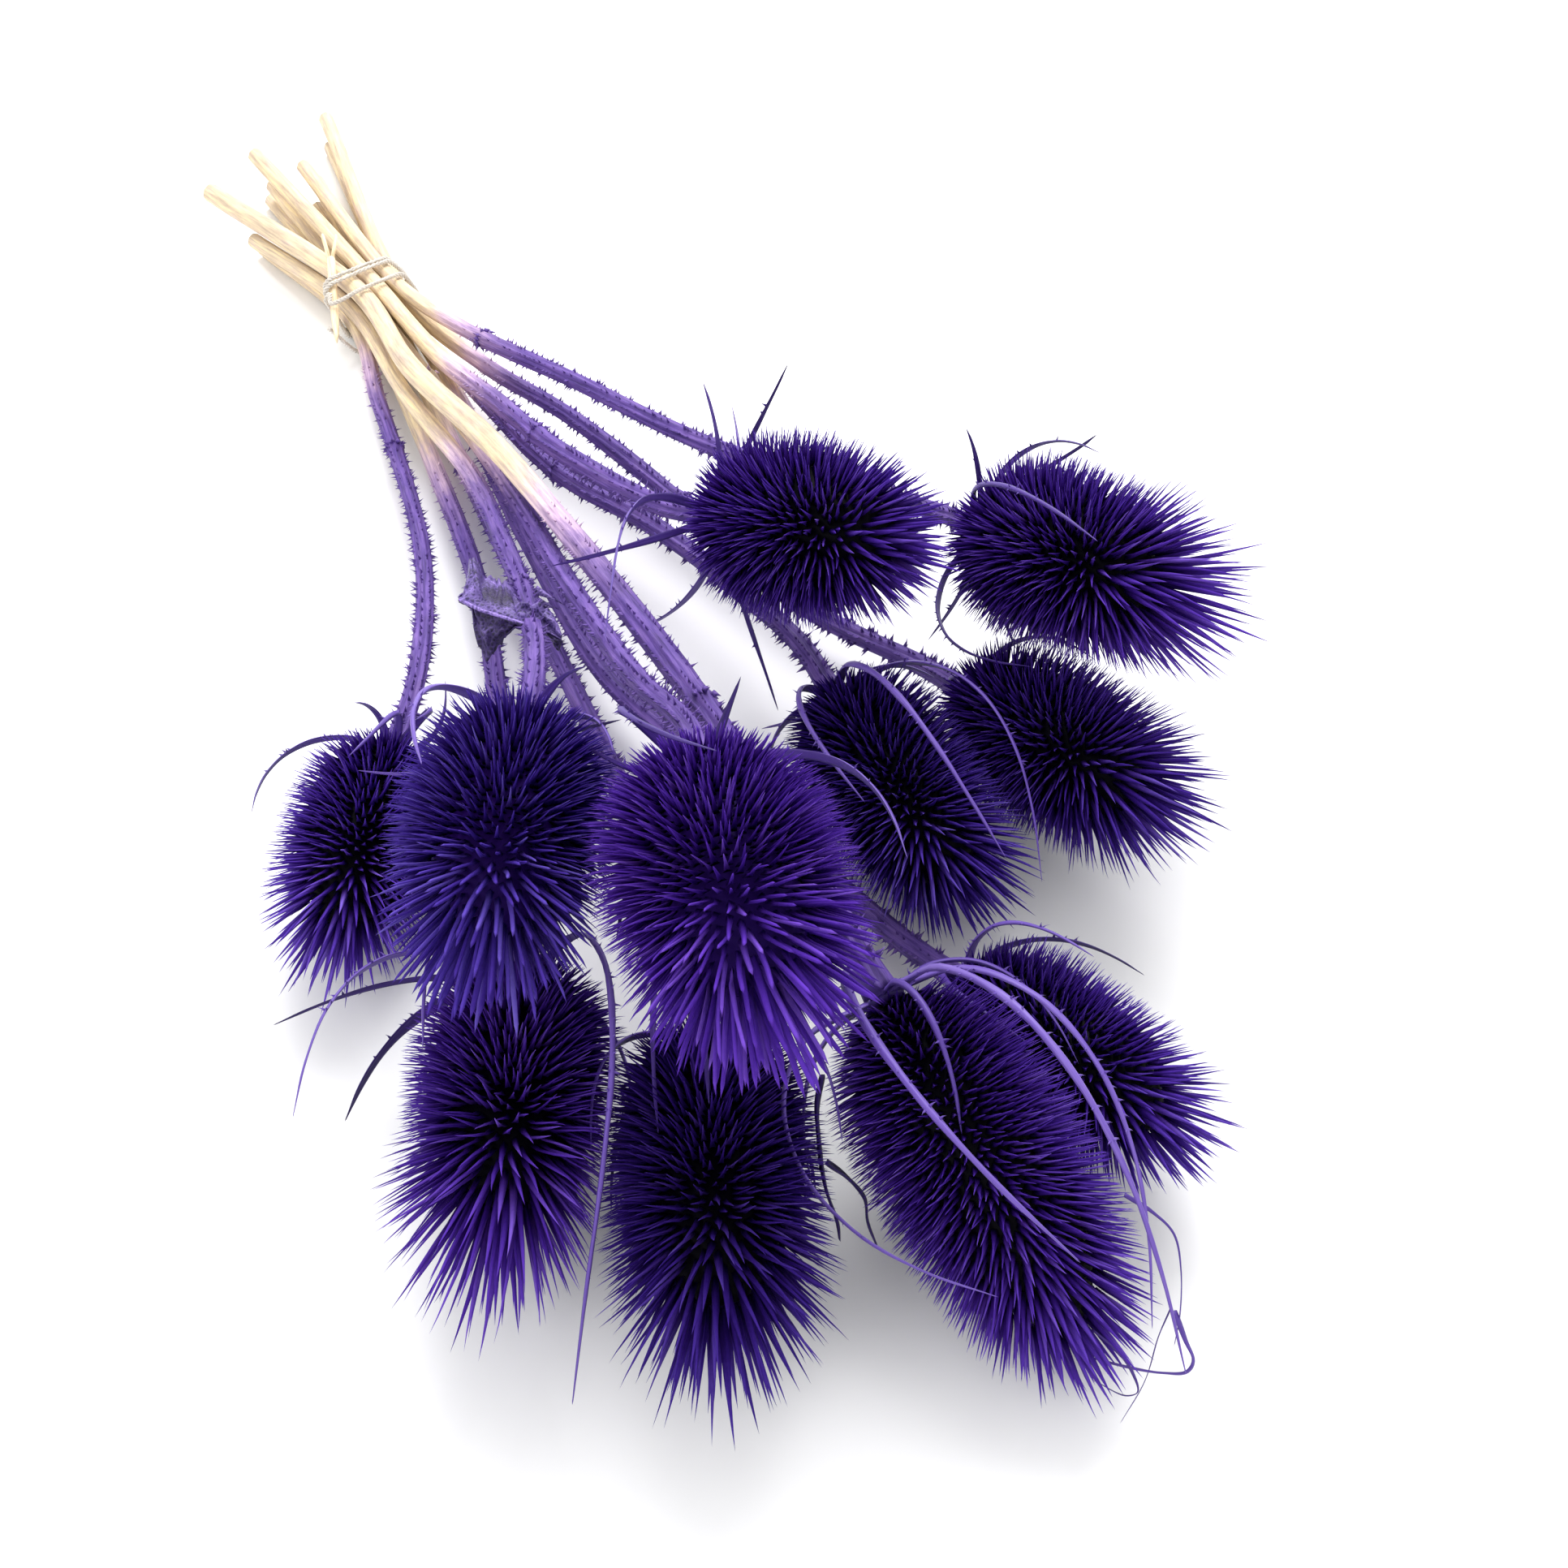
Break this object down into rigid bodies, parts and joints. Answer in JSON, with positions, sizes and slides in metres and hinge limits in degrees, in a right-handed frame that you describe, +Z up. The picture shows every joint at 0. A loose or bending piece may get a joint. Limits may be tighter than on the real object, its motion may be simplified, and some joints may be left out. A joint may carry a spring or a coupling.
{
  "type": "bunch of teasel seed heads",
  "caption": "Bunch of dyed dried teasels lying down: awned seed heads with long curling bracts on prickly stems, held by a string tie with a tightening peg.",
  "frame": {"origin": "under the middle of the bunch's bounding box, on the surface it lies on", "axes": "+Y along the bunch from the seed heads to the cut ends, +Z up, +X across"},
  "size_m": [0.2526, 0.563, 0.1241],
  "materials": {
    "awns": "dry dyed bristles with a faint sheen",
    "bracts": "dry dyed blades, fibrous, faint sheen",
    "stems": "dry ridged stem, dyed violet fading to bare cream at the cut ends",
    "string": "undyed twisted string",
    "peg": "bare split stick"
  },
  "bodies": {
    "root": {"head_01": "awns", "head_02": "awns", "head_03": "awns", "head_04": "awns", "head_05": "awns", "head_06": "awns", "head_07": "awns", "head_08": "awns", "head_09": "awns", "head_10": "awns", "head_11": "awns", "bracts_01": "bracts", "bracts_02": "bracts", "bracts_03": "bracts", "bracts_04": "bracts", "bracts_05": "bracts", "bracts_06": "bracts", "bracts_07": "bracts", "bracts_08": "bracts", "bracts_09": "bracts", "bracts_10": "bracts", "bracts_11": "bracts", "stem_01": "stems", "stem_02": "stems", "stem_03": "stems", "stem_04": "stems", "stem_05": "stems", "stem_06": "stems", "stem_07": "stems", "stem_08": "stems", "stem_09": "stems", "stem_10": "stems", "stem_11": "stems", "tie_string": "string", "tightening_peg": "peg"}
  },
  "joints": []
}
